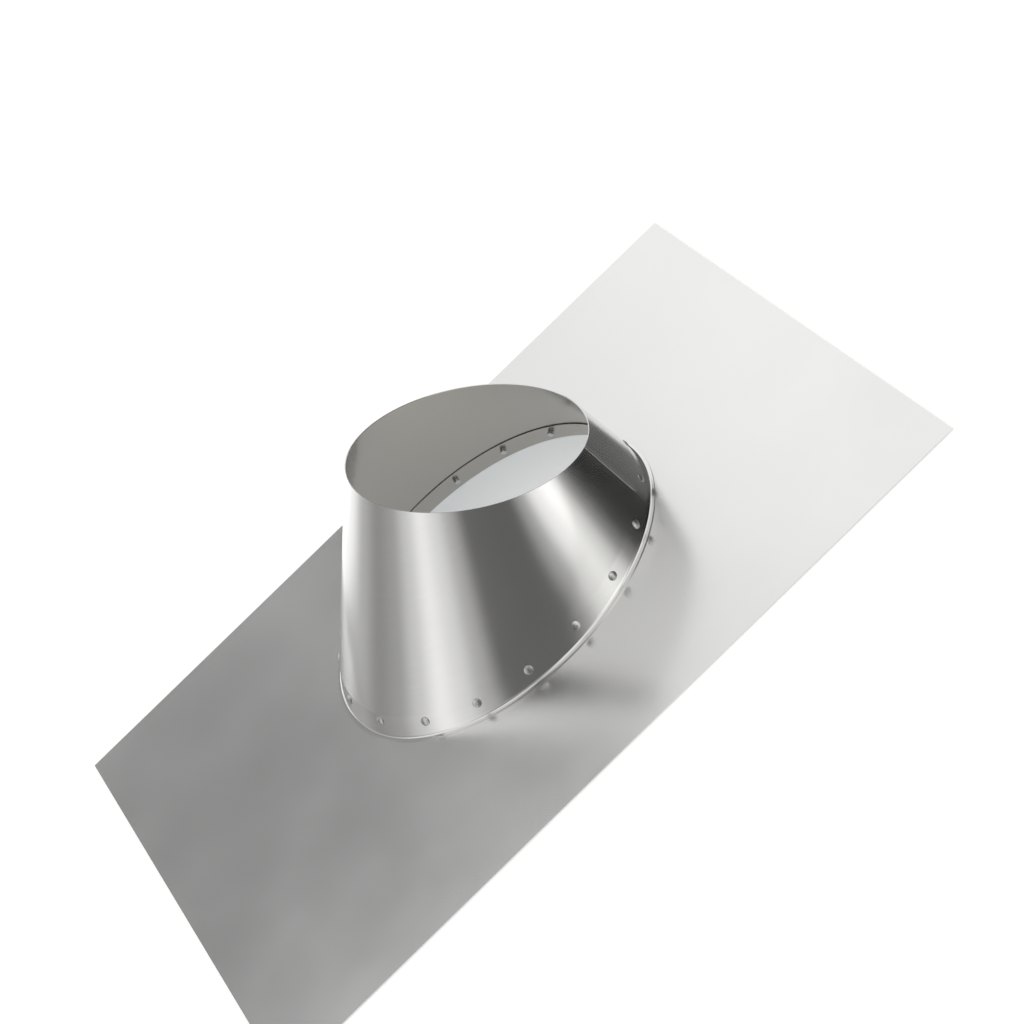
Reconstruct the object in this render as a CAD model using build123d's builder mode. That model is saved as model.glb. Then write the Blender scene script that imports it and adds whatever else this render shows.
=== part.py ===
from build123d import *
from itertools import pairwise
import math
import os

# Sheet metal, in millimetres
sheet = 0.8                 # thickness of the plate and of the cone
nest_gap = 0.15             # air between the plate's collar and the cone's foot
bend_radius = 2.0           # inside radius where a sheet turns up or out

# Base plate, flat, with its underside at Z = 0 and uphill along +Y
plate_width = 500.0
plate_length = 726.0

# Oval foot of the cone, measured on the outside of the foot band
foot_length = 332.0
foot_width = 286.0
foot_across = -24.0         # foot's centre from the plate's centre, across the roof
foot_uphill = 21.0          # foot's centre from the plate's centre, uphill
lip_width = 4.0             # from the foot band out to the lip's edge, at the sides
lip_slide = 0.8             # how far the lip's edge sits uphill of the foot band
band_height = 17.0          # crease over the plate's top
band_inset = 6.0            # how far the band leans in all round over its height
band_slide = 5.0            # how far the band leans uphill over its height
crease_softness = 2.0       # how far the softened crease reaches, down and up

# Ring that the flue comes through, level on a roof of this pitch
roof_pitch = 27.0
flue_diameter = 200.0
flue_clearance = 3.0        # air all round the flue
ring_uphill = 64.0          # ring's centre from the foot's centre
ring_height = 121.0         # ring's centre over the plate's top

# Plate's collar, which stands up inside the foot band and leans in with the wall
collar_part = 0.034         # how much of the wall above the crease it follows

# Lap seam of the rolled cone
seam_angle = 35.0           # from straight uphill, towards +X
seam_sweep = 5.0            # width of the lap, in degrees back towards uphill
seam_sink = 0.3             # how deep the lap's section runs into the wall

# Blind rivets through the foot band and the collar
rivet_count = 18
rivet_first = 5.5           # first rivet from the uphill end, along the band
far_side_shift = 6.0        # the rivets of the side away from the seam sit further on
rivet_height = 11.8         # over the plate's top
rivet_diameter = 4.0
rivet_fit = 0.05            # air between the rivet's shank and its hole, all round
head_diameter = 8.0
head_height = 1.4
head_edge = 0.4             # thickness of the head at its rim
head_lift = 0.05            # head's flat underside over the curved band
mandrel_diameter = 2.4      # recess in the head over the broken mandrel
mandrel_depth = 0.5
tail_diameter = 5.6
tail_height = 3.5
tail_edge = 0.6             # rounding of the tail's free end
tail_lift = 0.25            # tail's flat side over the curved collar


class Oval:
    """An oval level of the flashing: its centre and its half axes."""

    def __init__(self, uphill, height, half_width, half_length, rise=0.0):
        self.values = (uphill, height, half_width, half_length, rise)
        self.centre = Vector(foot_across, foot_uphill + uphill, height)
        self.side = Vector(half_width, 0, 0)
        self.end = Vector(0, half_length, rise)

    def point(self, angle):
        """Point on the oval, at an angle in degrees from straight uphill."""
        turn = math.radians(angle)
        return self.centre + self.side * math.sin(turn) + self.end * math.cos(turn)

    def toward(self, other, part):
        """The level that lies a part of the way to another one."""
        return Oval(*(a + (b - a) * part for a, b in zip(self.values, other.values)))

    def inset(self, depth, other):
        """The level a depth inside the wall that runs from this level to another."""
        setbacks = []
        for angle in (0, 90, 180):
            wall = other.point(angle) - self.point(angle)
            spoke = self.point(angle) - self.centre
            setbacks.append(depth / math.sin(math.radians(wall.get_angle(spoke))))
        uphill, side, downhill = setbacks
        shrink = 1 - (uphill + downhill) / 2 / self.end.length
        slide = (downhill - uphill) / 2 / self.end.length
        return Oval(
            self.values[0] + slide * self.end.Y,
            self.values[1] + slide * self.end.Z,
            self.side.X - side,
            self.end.Y * shrink,
            self.end.Z * shrink,
        )

    @property
    def plane(self):
        normal = self.side.cross(self.end)
        return Plane(origin=self.centre, x_dir=self.end, z_dir=normal)

    @property
    def face(self):
        with BuildSketch(self.plane) as section:
            Ellipse(self.end.length, self.side.length)
        return section.sketch


# Levels of the cone's outside: foot, both sides of the soft crease, and ring
ring_radius = flue_diameter / 2 + flue_clearance + sheet
pitch = math.radians(roof_pitch)
foot = Oval(0, sheet, foot_width / 2, foot_length / 2)
crease = Oval(
    band_slide,
    sheet + band_height,
    foot_width / 2 - band_inset,
    foot_length / 2 - band_inset,
)
ring = Oval(
    ring_uphill,
    sheet + ring_height,
    ring_radius,
    ring_radius * math.cos(pitch),
    -ring_radius * math.sin(pitch),
)
below_crease = crease.toward(foot, crease_softness / band_height)
above_crease = crease.toward(ring, crease_softness / ring_height)
outside = [foot, below_crease, above_crease, ring]


def inside(depth):
    """Levels of the surface that lies a depth inside the cone's outside."""
    neighbours = outside[1:] + outside[-2:-1]
    return [level.inset(depth, other) for level, other in zip(outside, neighbours)]


def up_to_rim(levels, part):
    """Levels that end a part of the way up the cone's wall."""
    return [*levels[:-1], levels[-2].toward(levels[-1], part)]


def run_past(levels):
    """Levels that start below the sheet they cut out of."""
    return [levels[0].toward(levels[1], -0.2), *levels[1:]]


def turn_of(part, height):
    """The foot's edge round a piece, where its upright side meets a flat face."""
    level = part.edges().filter_by_position(Axis.Z, height - 0.01, height + 0.01)
    rounds = level.filter_by(lambda edge: edge.geom_type != GeomType.LINE)
    return rounds.sort_by(lambda edge: edge.length)[0]


# Cone: lip, foot band and oblique wall as one rolled sheet
with BuildPart() as cone:
    for bottom, top in pairwise(outside):
        loft([bottom.face, top.face], ruled=True)
    with BuildSketch(Plane.XY.offset(sheet)):
        with Locations((foot_across, foot_uphill + lip_slide)):
            Ellipse(foot_width / 2 + lip_width, foot_length / 2 + lip_width)
    extrude(amount=sheet)
    for bottom, top in pairwise(run_past(up_to_rim(inside(sheet), 1.1))):
        loft([bottom.face, top.face], ruled=True, mode=Mode.SUBTRACT)
    fillet(turn_of(cone, 2 * sheet), bend_radius)
    fillet(turn_of(cone, sheet), bend_radius + sheet)

# Base plate with its collar
with BuildPart() as base_plate:
    with BuildSketch():
        Rectangle(plate_width, plate_length)
    extrude(amount=sheet)
    collar_outside = up_to_rim(inside(sheet + nest_gap), collar_part)
    for bottom, top in pairwise(collar_outside):
        loft([bottom.face, top.face], ruled=True)
    collar_inside = up_to_rim(inside(2 * sheet + nest_gap), 2 * collar_part)
    for bottom, top in pairwise(run_past(collar_inside)):
        loft([bottom.face, top.face], ruled=True, mode=Mode.SUBTRACT)
    fillet(turn_of(base_plate, sheet), bend_radius)
    fillet(turn_of(base_plate, 0), bend_radius + sheet)


def rivet_angles(level):
    """Angles of the rivets, evenly spaced by the length along an oval level."""
    steps = 3600
    points = [level.point(360 * step / steps) for step in range(steps + 1)]
    lengths = [0.0]
    for start, stop in pairwise(points):
        lengths.append(lengths[-1] + (stop - start).length)
    angles = []
    for rivet in range(rivet_count):
        wanted = rivet_first + lengths[-1] * rivet / rivet_count
        if rivet > rivet_count / 2:
            wanted += far_side_shift
        step = min(range(steps), key=lambda number: abs(lengths[number] - wanted))
        angles.append(360 * step / steps)
    return angles


def rivet_plane(angle):
    """Plane on the band's outside at a rivet, with its Z axis out of the band."""
    level = foot.toward(crease, rivet_height / band_height)
    along = level.point(angle + 0.1) - level.point(angle - 0.1)
    upward = crease.point(angle) - foot.point(angle)
    return Plane(origin=level.point(angle), x_dir=along, z_dir=upward.cross(along))


# Holes for the rivets, through both sheets
rivet_planes = [rivet_plane(angle) for angle in rivet_angles(foot.toward(crease, 0.5))]
for piece in (cone, base_plate):
    with piece:
        with Locations(*rivet_planes):
            Cylinder(rivet_diameter / 2 + rivet_fit, 8 * sheet, mode=Mode.SUBTRACT)


def lap_section(level):
    """Face across the lap: a wedge that is one sheet thick at the lap's free edge."""
    along = level.point(seam_angle + 0.1) - level.point(seam_angle - 0.1)
    outward = level.plane.z_dir.cross(along).normalized()
    edge = level.point(seam_angle)
    far = level.point(seam_angle - seam_sweep)
    corners = (edge - outward * seam_sink, edge + outward * sheet, far - outward * seam_sink)
    return Face(Wire.make_polygon(corners))


# Lap seam, where one end of the rolled sheet lies over the other
with cone:
    loft([lap_section(above_crease), lap_section(ring)], ruled=True)

# One blind rivet about its own axis, with its head at the top
tail_start = -(2 * sheet + nest_gap + tail_lift)
dome_height = head_height - head_edge
dome_radius = (dome_height**2 + (head_diameter / 2) ** 2) / (2 * dome_height)
with BuildPart() as rivet:
    with BuildSketch(Plane.XZ):
        with BuildLine():
            Line((0, tail_start - tail_height), (0, head_lift + head_height))
            RadiusArc(
                (0, head_lift + head_height),
                (head_diameter / 2, head_lift + head_edge),
                dome_radius,
            )
            Polyline(
                (head_diameter / 2, head_lift + head_edge),
                (head_diameter / 2, head_lift),
                (rivet_diameter / 2, head_lift),
                (rivet_diameter / 2, tail_start),
                (tail_diameter / 2, tail_start),
                (tail_diameter / 2, tail_start - tail_height),
                (0, tail_start - tail_height),
            )
        make_face()
    revolve(axis=Axis.Z)
    fillet(rivet.edges().group_by(Axis.Z)[0], tail_edge)
    with Locations((0, 0, head_lift + head_height)):
        Cylinder(mandrel_diameter / 2, 2 * mandrel_depth, mode=Mode.SUBTRACT)

# All the rivets in their places
with BuildPart() as rivets:
    with Locations(*rivet_planes):
        add(rivet.part)

os.makedirs("parts", exist_ok=True)
for piece, name in ((base_plate, "base_plate"), (cone, "cone"), (rivets, "rivets")):
    piece.part.label = name
    export_step(piece.part, f"parts/{name}.step")
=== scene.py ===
import math

import bpy
from mathutils import Matrix, Vector


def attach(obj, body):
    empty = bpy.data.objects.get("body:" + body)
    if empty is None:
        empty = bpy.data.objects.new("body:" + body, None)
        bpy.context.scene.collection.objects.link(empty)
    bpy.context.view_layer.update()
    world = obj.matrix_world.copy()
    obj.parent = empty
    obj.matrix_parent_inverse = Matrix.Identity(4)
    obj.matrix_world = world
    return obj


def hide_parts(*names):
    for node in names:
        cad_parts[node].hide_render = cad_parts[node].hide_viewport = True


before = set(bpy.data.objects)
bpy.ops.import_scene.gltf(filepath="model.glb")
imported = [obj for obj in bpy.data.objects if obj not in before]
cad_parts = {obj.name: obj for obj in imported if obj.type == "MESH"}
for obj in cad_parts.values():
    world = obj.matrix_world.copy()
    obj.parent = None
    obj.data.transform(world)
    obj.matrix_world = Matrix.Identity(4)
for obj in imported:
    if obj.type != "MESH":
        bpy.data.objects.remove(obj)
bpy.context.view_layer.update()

# The flashing's own sizes, in metres, as in the part
SHEET = 0.0008                  # thickness of the plate and of the cone
NEST_GAP = 0.00015              # air between the plate's collar and the foot band
PLATE_HALF = (0.25, 0.363)      # half the plate, across the roof and uphill
FOOT_CENTRE = (-0.024, 0.021)
FOOT_HALF = (0.143, 0.166)
LIP = 0.004                     # from the foot band out to the lip's edge
LIP_SLIDE = 0.0008              # how far the lip's edge sits uphill of the foot band
BAND_HEIGHT = 0.017
BAND_INSET = 0.006              # how far the band leans in over its height
BAND_SLIDE = 0.005              # how far the band leans uphill over its height
RING_RADIUS = 0.1038
RING_UPHILL = 0.064
RING_HEIGHT = 0.121
ROOF_PITCH = math.radians(27)
COLLAR_PART = 0.034             # how much of the wall above the crease the collar follows

# Lap seam, drawn a little slimmer than in the part, in degrees off uphill and metres
SEAM_ANGLE = 33.0
SEAM_SWEEP = 2.2
SEAM_RISE = 0.0005

# How softly the sheets bend, in metres
LIP_BEND = 0.003
COLLAR_BEND = 0.002
CREASE_BEND = 0.006


# Shapes of the sheets

def oval(uphill, height, half_across, half_uphill, rise=0.0):
    """A level of the flashing, as a function from an angle off uphill to a point."""
    def point(angle):
        turn = math.radians(angle)
        return Vector((
            FOOT_CENTRE[0] + half_across * math.sin(turn),
            FOOT_CENTRE[1] + uphill + half_uphill * math.cos(turn),
            height + rise * math.cos(turn),
        ))
    return point


foot = oval(0, SHEET, *FOOT_HALF)
lip_edge = oval(LIP_SLIDE, 2 * SHEET, FOOT_HALF[0] + LIP, FOOT_HALF[1] + LIP)
crease = oval(
    BAND_SLIDE,
    SHEET + BAND_HEIGHT,
    FOOT_HALF[0] - BAND_INSET,
    FOOT_HALF[1] - BAND_INSET,
)
ring = oval(
    RING_UPHILL,
    SHEET + RING_HEIGHT,
    RING_RADIUS,
    RING_RADIUS * math.cos(ROOF_PITCH),
    -RING_RADIUS * math.sin(ROOF_PITCH),
)


def rounded(before, corner, after, radius, steps):
    """Points along a corner rounded to about a bend radius, as far as its sides allow."""
    back = (before - corner).normalized()
    on = (after - corner).normalized()
    reach = radius / math.tan(back.angle(on) / 2)
    reach = min(reach, 0.8 * (before - corner).length, 0.45 * (after - corner).length)
    points = []
    for step in range(steps + 1):
        t = step / steps
        points.append(corner + back * reach * (1 - t) ** 2 + on * reach * t ** 2)
    return points


def run_of(level, angle):
    """The way that a level's edge runs at an angle."""
    return level(angle + 0.01) - level(angle - 0.01)


def ring_angle(angle):
    """Where a straight line of the wall that leaves the crease at an angle meets the ring.

    A rolled sheet is flat along such a line, so both edges run in one plane with it.
    """
    start, run = crease(angle), run_of(crease, angle)

    def turned(other):
        return (ring(other) - start).dot(run.cross(run_of(ring, other)))

    low, high = angle - 30, angle + 30
    for _ in range(40):
        middle = (low + high) / 2
        if (turned(middle) > 0) == (turned(low) > 0):
            low = middle
        else:
            high = middle
    return low


WALL_STEPS = 12                 # faces up the wall, above the crease
BEND_STEPS = 8                  # faces round each of the cone's bends


def cone_profile(angle):
    """Points up the cone's outside from one angle: lip, foot band, crease and wall."""
    edge = lip_edge(angle)
    top = crease(angle)
    low = foot(angle).lerp(top, SHEET / BAND_HEIGHT)
    high = ring(ring_angle(angle))
    points = [edge]
    points += rounded(edge, low, top, LIP_BEND, BEND_STEPS)
    points += rounded(low, top, high, CREASE_BEND, BEND_STEPS)
    start = points[-1]
    points += [start.lerp(high, step / WALL_STEPS) for step in range(1, WALL_STEPS + 1)]
    return points


def outward_normals(rows):
    """Outward normals of a closed grid of points, rows up and columns round."""
    count = len(rows[0])
    normals = []
    for i, row in enumerate(rows):
        above = rows[min(i + 1, len(rows) - 1)]
        below = rows[max(i - 1, 0)]
        normals.append([
            (row[(j + 1) % count] - row[j - 1]).cross(above[j] - below[j]).normalized() * -1
            for j in range(count)
        ])
    return normals


def offset(points, normals, depth):
    """A row of points moved inward along its normals."""
    return [point - normal * depth for point, normal in zip(points, normals)]


SHARP_EDGE = math.radians(35)


def closed_shell(name, outside, inside, inner_from=0):
    """A sheet piece between two grids, whose inner faces take the second material, the darker
    steel of painted shade.
    """
    rows, count = len(outside), len(outside[0])
    points = [tuple(point) for grid in (outside, inside) for row in grid for point in row]
    inner = rows * count
    faces, inner_faces = [], []
    for i in range(rows - 1):
        for j in range(count):
            k = (j + 1) % count
            a, b, c, d = i * count + j, i * count + k, (i + 1) * count + k, (i + 1) * count + j
            faces.append((a, d, c, b))
            faces.append((inner + a, inner + b, inner + c, inner + d))
            if i >= inner_from:
                inner_faces.append(len(faces) - 1)
    last = (rows - 1) * count
    for j in range(count):
        k = (j + 1) % count
        faces.append((j, k, inner + k, inner + j))
        faces.append((last + j, inner + last + j, inner + last + k, last + k))

    mesh = bpy.data.meshes.new(name)
    mesh.from_pydata(points, [], faces)
    mesh.validate()
    mesh.shade_smooth()
    mesh.set_sharp_from_angle(angle=SHARP_EDGE)
    for index in inner_faces:
        mesh.polygons[index].material_index = 1
    piece = bpy.data.objects.new(name, mesh)
    bpy.context.scene.collection.objects.link(piece)
    return piece


def cone_angles():
    """Angles of the cone's columns, with one where the lap starts to rise and two at its edge."""
    angles = [degree for degree in range(360) if degree != SEAM_ANGLE]
    angles += [SEAM_ANGLE - SEAM_SWEEP, SEAM_ANGLE - 0.02, SEAM_ANGLE + 0.02]
    return sorted(angles)


def make_cone():
    """The rolled sheet from the lip to the ring, with its lap standing a little proud."""
    angles = cone_angles()
    outside = [list(row) for row in zip(*[cone_profile(angle) for angle in angles])]
    normals = outward_normals(outside)
    inside = [offset(*pair, SHEET) for pair in zip(outside, normals)]
    for i in range(len(outside) - WALL_STEPS, len(outside)):
        for j, angle in enumerate(angles):
            part = (angle - (SEAM_ANGLE - SEAM_SWEEP)) / SEAM_SWEEP
            if 0 < part < 1:
                outside[i][j] = outside[i][j] + normals[i][j] * SEAM_RISE * part
    return closed_shell("Cone", outside, inside)


def way_to_edge(start, way):
    """How many times a way fits in from a start to the plate's edge."""
    return min(
        ((half if step > 0 else -half) - from_here) / step
        for step, from_here, half in zip(way, start, PLATE_HALF)
        if abs(step) > 1e-9
    )


def plate_angles():
    """Angles of the plate's columns, with one at each corner."""
    corners = [
        math.degrees(math.atan2(
            (across - FOOT_CENTRE[0]) / FOOT_HALF[0],
            (uphill - FOOT_CENTRE[1]) / FOOT_HALF[1],
        )) % 360
        for across in (-PLATE_HALF[0], PLATE_HALF[0])
        for uphill in (-PLATE_HALF[1], PLATE_HALF[1])
    ]
    evenly = [
        degree for degree in range(0, 360, 2)
        if all(abs(degree - corner) > 0.7 for corner in corners)
    ]
    return sorted(evenly + corners)


def make_plate():
    """The flat plate with its collar, which stands up close inside the foot band."""
    angles = plate_angles()
    band = [list(row) for row in zip(*[
        (foot(angle), crease(angle), crease(angle).lerp(ring(angle), COLLAR_PART))
        for angle in angles
    ])]
    rows = zip(band, outward_normals(band))
    low, bend, top = [offset(*pair, SHEET + NEST_GAP) for pair in rows]
    centre = Vector((*FOOT_CENTRE, SHEET))
    profiles = []
    for j, angle in enumerate(angles):
        way = foot(angle) - centre
        edge = centre + way * way_to_edge(centre, way)
        near = lip_edge(angle)
        near.z = SHEET
        out = near + (near - centre).normalized() * 0.006
        low[j].z = SHEET
        wall = rounded(near, low[j], bend[j], COLLAR_BEND, 6)
        wall += rounded(low[j], bend[j], top[j], CREASE_BEND, 4)
        profiles.append([edge, out, near, *wall, top[j]])
    upper = [list(row) for row in zip(*profiles)]
    under = [offset(*pair, SHEET) for pair in zip(upper, outward_normals(upper))]
    flat_rows = 3
    return closed_shell("Base_plate", upper, under, inner_from=flat_rows)


base_plate = make_plate()
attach(base_plate, "root")
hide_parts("base_plate")

cone = make_cone()
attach(cone, "root")
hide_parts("cone")


# Finishes, with painted shade on the inner faces

def node(tree, kind, values=None, **settings):
    """A node with its settings, and with the values of its inputs by name or number."""
    made = tree.nodes.new(kind)
    for key, setting in settings.items():
        setattr(made, key, setting)
    for key, value in (values or {}).items():
        made.inputs[key].default_value = value
    return made


def sheet_grain_group():
    """Rolled sheet: fine grain along one way and a cloudy sheen."""
    tree = bpy.data.node_groups.new("Sheet grain", "ShaderNodeTree")
    for name, kind, way in (
        ("Place", "NodeSocketVector", "INPUT"),
        ("Colour", "NodeSocketColor", "INPUT"),
        ("Roughness", "NodeSocketFloat", "INPUT"),
        ("Grain tone", "NodeSocketFloat", "INPUT"),
        ("Colour", "NodeSocketColor", "OUTPUT"),
        ("Roughness", "NodeSocketFloat", "OUTPUT"),
    ):
        tree.interface.new_socket(name=name, in_out=way, socket_type=kind)
    link = tree.links.new
    start = node(tree, "NodeGroupInput")
    end = node(tree, "NodeGroupOutput")

    # Fine lines, stretched along the sheet, make the colour a little lighter and darker
    stretch = node(tree, "ShaderNodeMapping", {"Scale": (1.0, 0.03, 0.03)})
    link(start.outputs["Place"], stretch.inputs["Vector"])
    grain = node(tree, "ShaderNodeTexNoise", {"Scale": 900.0, "Detail": 3.0})
    link(stretch.outputs["Vector"], grain.inputs["Vector"])
    centred = node(tree, "ShaderNodeMath", {1: 0.5}, operation="SUBTRACT")
    link(grain.outputs["Fac"], centred.inputs[0])
    tone = node(tree, "ShaderNodeMath", {2: 1.0}, operation="MULTIPLY_ADD")
    link(centred.outputs["Value"], tone.inputs[0])
    link(start.outputs["Grain tone"], tone.inputs[1])
    tint = node(tree, "ShaderNodeVectorMath", operation="SCALE")
    link(start.outputs["Colour"], tint.inputs[0])
    link(tone.outputs["Value"], tint.inputs["Scale"])
    link(tint.outputs["Vector"], end.inputs["Colour"])

    # Soft clouds make the sheen a little sharper and duller
    cloud = node(tree, "ShaderNodeTexNoise", {"Scale": 9.0, "Detail": 3.0, "Roughness": 0.5})
    link(start.outputs["Place"], cloud.inputs["Vector"])
    sheen = node(
        tree,
        "ShaderNodeMapRange",
        {"From Min": 0.3, "From Max": 0.7, "To Min": 0.85, "To Max": 1.15},
    )
    link(cloud.outputs["Fac"], sheen.inputs["Value"])
    rough = node(tree, "ShaderNodeMath", operation="MULTIPLY")
    link(start.outputs["Roughness"], rough.inputs[0])
    link(sheen.outputs["Result"], rough.inputs[1])
    link(rough.outputs["Value"], end.inputs["Roughness"])
    return tree


SHEET_GRAIN = sheet_grain_group()


def steel(name, colour, roughness, grain_tone=0.02, turn=(0, 0, 0)):
    """Satin stainless steel, with its grain turned to run along the sheet."""
    material = bpy.data.materials.new(name)
    material.use_nodes = True
    tree = material.node_tree
    shader = tree.nodes["Principled BSDF"]
    shader.inputs["Metallic"].default_value = 1.0
    place = node(tree, "ShaderNodeTexCoord")
    turned = node(tree, "ShaderNodeMapping", {"Rotation": turn})
    grain = node(tree, "ShaderNodeGroup", node_tree=SHEET_GRAIN)
    grain.inputs["Colour"].default_value = (*colour, 1)
    grain.inputs["Roughness"].default_value = roughness
    grain.inputs["Grain tone"].default_value = grain_tone
    link = tree.links.new
    link(place.outputs["Object"], turned.inputs["Vector"])
    link(turned.outputs["Vector"], grain.inputs["Place"])
    link(grain.outputs["Colour"], shader.inputs["Base Color"])
    link(grain.outputs["Roughness"], shader.inputs["Roughness"])
    return material


def finish_in(piece, *materials):
    """Give a piece its finishes. Clearing resets its faces' choice, so an empty list is left."""
    if piece.data.materials:
        piece.data.materials.clear()
    for material in materials:
        piece.data.materials.append(material)


UPRIGHT = (0, math.radians(90), 0)
plate_steel = steel("Plate steel", (0.73, 0.73, 0.725), 0.22)
cone_steel = steel("Cone steel", (0.73, 0.725, 0.71), 0.17, grain_tone=0.06, turn=UPRIGHT)
# The same steel painted darker for the inner faces: painted shade inside the cone and on the
# collar's inner face
inside_shade_steel = steel("Inside steel, painted shade", (0.47, 0.45, 0.42), 0.24, grain_tone=0.06, turn=UPRIGHT)
rivet_steel = steel("Rivet steel", (0.6, 0.6, 0.59), 0.34)
finish_in(cone, cone_steel, inside_shade_steel)
finish_in(base_plate, plate_steel, inside_shade_steel)
finish_in(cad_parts["rivets"], rivet_steel)


# Studio

GLOW_STRENGTH = 2.0             # the brightest level a ramp may hold, as its colour 1


def glow_material(name, ramp_stops, gradient, place=None):
    """A glow that changes along a gradient, through stops of position and level."""
    material = bpy.data.materials.new(name)
    material.use_nodes = True
    tree = material.node_tree
    tree.nodes.clear()
    coordinate = node(tree, "ShaderNodeTexCoord")
    turned = node(tree, "ShaderNodeMapping", place)
    spread = node(tree, "ShaderNodeTexGradient", gradient_type=gradient)
    ramp = node(tree, "ShaderNodeValToRGB")
    ramp.color_ramp.interpolation = "EASE"
    stops = ramp.color_ramp.elements
    while len(stops) < len(ramp_stops):
        stops.new(0.5)
    for stop, (position, level) in zip(stops, ramp_stops):
        stop.position = position
        stop.color = (*[level / GLOW_STRENGTH] * 3, 1)
    glow = node(tree, "ShaderNodeEmission", {"Strength": GLOW_STRENGTH})
    out = node(tree, "ShaderNodeOutputMaterial")
    link = tree.links.new
    link(coordinate.outputs["Object"], turned.inputs["Vector"])
    link(turned.outputs["Vector"], spread.inputs["Vector"])
    link(spread.outputs["Fac"], ramp.inputs["Fac"])
    link(ramp.outputs["Color"], glow.inputs["Color"])
    link(glow.outputs["Emission"], out.inputs["Surface"])
    return material


def studio_object(name, points, faces, material):
    """A part of the studio that only the metal's reflections see."""
    mesh = bpy.data.meshes.new(name)
    mesh.from_pydata(points, [], faces)
    mesh.materials.append(material)
    made = bpy.data.objects.new(name, mesh)
    bpy.context.scene.collection.objects.link(made)
    made.visible_camera = False
    made.visible_diffuse = False
    made.visible_shadow = False
    return made


TENT_CENTRE = Vector((-0.024, 0.05))
TENT_RADIUS = 2.0
TENT_HEIGHT = 1.8
TENT_FOOT = 0.0002              # height of the tent's floor cloth over the plate's underside
TENT_GAP = 0.002                # from the plate's edge out to the cloth

# Level of the tent's cloth by azimuth, in degrees from across the roof
TENT_LEVELS = [
    (-179, 1.5), (-160, 1.7), (-146, 1.2), (-131, 0.55), (-114, 0.33), (-98, 0.42),
    (-84, 0.74), (-69, 1.15), (-56, 0.9), (-42, 0.52), (-30, 0.16), (6, 0.14),
    (16, 0.45), (27, 1.15), (38, 1.5), (47, 1.15), (58, 0.33), (68, 0.06), (80, 0.02),
    (98, 0.02), (107, 0.16), (135, 0.16), (152, 0.22), (175, 1.0),
]


def make_tent():
    """A round tent about the flashing, with light and dark panels from the plate's edge up."""
    count = 180
    points, faces = [], []
    for i in range(count):
        turn = 2 * math.pi * i / count
        way = Vector((math.cos(turn), math.sin(turn)))
        edge = way * (way_to_edge(TENT_CENTRE, way) + TENT_GAP)
        points.append((*edge, TENT_FOOT))
        points.append((*(way * TENT_RADIUS), TENT_FOOT))
        points.append((*(way * TENT_RADIUS), TENT_HEIGHT))
        a, b = 3 * i, 3 * ((i + 1) % count)
        faces.append((a, a + 1, b + 1, b))
        faces.append((a + 1, a + 2, b + 2, b + 1))
    stops = [((azimuth + 180) / 360, level) for azimuth, level in TENT_LEVELS]
    tent = studio_object("Light tent", points, faces, glow_material("Tent cloth", stops, "RADIAL"))
    tent.location = (*TENT_CENTRE, 0)


make_tent()


def make_far_card():
    """A large card over the far side, bright uphill and dim downhill."""
    low, high = (-0.95, 0.3), (-1.25, 1.45)
    downhill, uphill = -1.0, 0.86
    stops = [
        (0.0, 0.3), (0.36, 0.31), (0.405, 0.42), (0.44, 0.34), (0.475, 0.22), (0.495, 0.28),
        (0.52, 1.0), (0.62, 1.05), (0.75, 1.17), (1.0, 1.25),
    ]
    # The stops run from 1 m downhill of the plate's centre to 1 m uphill of it
    along_uphill = {
        "Location": (0.5, 0, 0),
        "Rotation": (0, 0, math.radians(-90)),
        "Scale": (0.5, 0.5, 0.5),
    }
    cloth = glow_material("Far card cloth", stops, "LINEAR", along_uphill)
    points = [
        (low[0], downhill, low[1]), (low[0], uphill, low[1]),
        (high[0], uphill, high[1]), (high[0], downhill, high[1]),
    ]
    studio_object("Far card", points, [(0, 1, 2, 3)], cloth)


make_far_card()


def make_overhead_card():
    """A dim card overhead, on the near side."""
    dim = bpy.data.materials.new("Overhead card cloth")
    dim.use_nodes = True
    shader = dim.node_tree.nodes["Principled BSDF"]
    shader.inputs["Base Color"].default_value = (0, 0, 0, 1)
    shader.inputs["Specular IOR Level"].default_value = 0.0
    shader.inputs["Emission Color"].default_value = (1, 1, 1, 1)
    shader.inputs["Emission Strength"].default_value = 0.08
    points = [(0.0, -1.8, 2.5), (1.6, -1.8, 2.5), (1.6, -0.2, 2.5), (0.0, -0.2, 2.5)]
    studio_object("Overhead card", points, [(0, 1, 2, 3)], dim)


make_overhead_card()


def light_path_level(tree, base, seen):
    """A strength that is one value for camera, glossy and clear rays, another for the rest."""
    path = node(tree, "ShaderNodeLightPath")
    first = node(tree, "ShaderNodeMath", operation="MAXIMUM")
    second = node(tree, "ShaderNodeMath", operation="MAXIMUM")
    level = node(tree, "ShaderNodeMapRange", {"To Min": base, "To Max": seen})
    link = tree.links.new
    link(path.outputs["Is Camera Ray"], first.inputs[0])
    link(path.outputs["Is Glossy Ray"], first.inputs[1])
    link(first.outputs["Value"], second.inputs[0])
    link(path.outputs["Is Transmission Ray"], second.inputs[1])
    link(second.outputs["Value"], level.inputs["Value"])
    return level.outputs["Result"]


FLOOR_HALF = 8.0
FLOOR_DROP = 0.0004             # how far the floor lies under the plate


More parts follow.
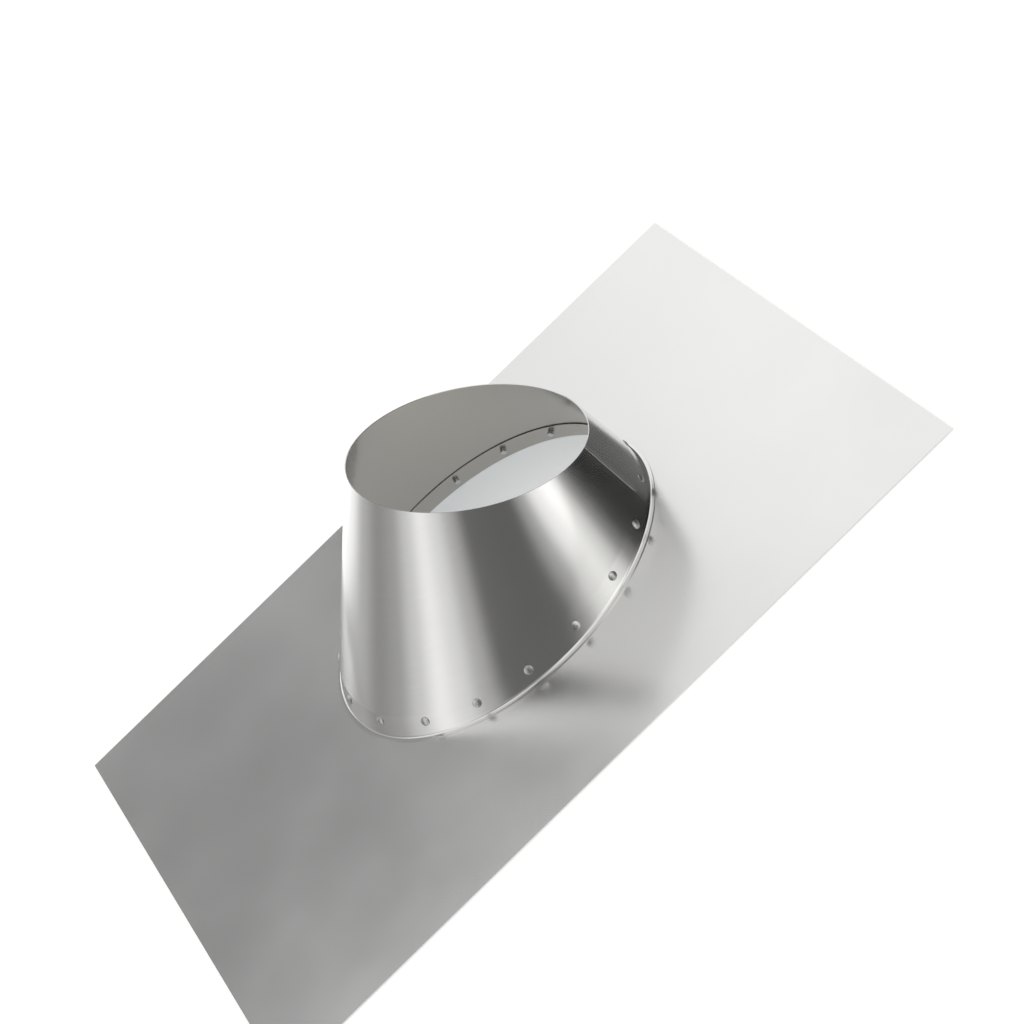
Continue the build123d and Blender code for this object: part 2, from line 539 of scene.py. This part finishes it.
def make_floor():
    """A plain pale floor that looks white to the eye and keeps the flashing's shadow."""
    mesh = bpy.data.meshes.new("Floor")
    corners = [(-1, -1), (1, -1), (1, 1), (-1, 1)]
    mesh.from_pydata(
        [(FLOOR_HALF * x, FLOOR_HALF * y, 0) for x, y in corners], [], [(0, 1, 2, 3)]
    )
    floor = bpy.data.objects.new("Floor", mesh)
    floor.location = (0, 0, -FLOOR_DROP)
    bpy.context.scene.collection.objects.link(floor)
    material = bpy.data.materials.new("Pale floor")
    material.use_nodes = True
    shader = material.node_tree.nodes["Principled BSDF"]
    shader.inputs["Base Color"].default_value = (0.7, 0.65, 0.61, 1)
    shader.inputs["Roughness"].default_value = 0.9
    shader.inputs["Specular IOR Level"].default_value = 0.0
    shader.inputs["Emission Color"].default_value = (0.8, 0.88, 0.92, 1)
    glow = light_path_level(material.node_tree, base=0.0, seen=0.42)
    material.node_tree.links.new(glow, shader.inputs["Emission Strength"])
    mesh.materials.append(material)


make_floor()


def make_world():
    """Even white light from all round."""
    world = bpy.data.worlds.new("Studio")
    bpy.context.scene.world = world
    world.use_nodes = True
    tree = world.node_tree
    background = tree.nodes["Background"]
    background.inputs["Color"].default_value = (1, 1, 1, 1)
    level = light_path_level(tree, base=1.05, seen=1.0)
    tree.links.new(level, background.inputs["Strength"])


make_world()


# Camera

CAMERA_AT = Vector((1.7855, 0.0277, 1.3538))
LOOKS_AT = Vector((-0.0790, 0.0763, 0.0))
CAMERA_ROLL = math.radians(-43.27)
LENS = 92.1                     # focal length in millimetres


def make_camera():
    """The camera of the photo, solved from the plate's edges, the foot and the ring."""
    data = bpy.data.cameras.new("Camera")
    data.sensor_width = 36
    data.lens = LENS
    data.clip_start = 0.05
    camera = bpy.data.objects.new("Camera", data)
    aim = (LOOKS_AT - CAMERA_AT).to_track_quat("-Z", "Y").to_matrix()
    rolled = (aim @ Matrix.Rotation(CAMERA_ROLL, 3, "Z")).to_4x4()
    camera.matrix_world = Matrix.Translation(CAMERA_AT) @ rolled
    bpy.context.scene.collection.objects.link(camera)
    bpy.context.scene.camera = camera


make_camera()
bpy.context.scene.view_settings.view_transform = "Standard"
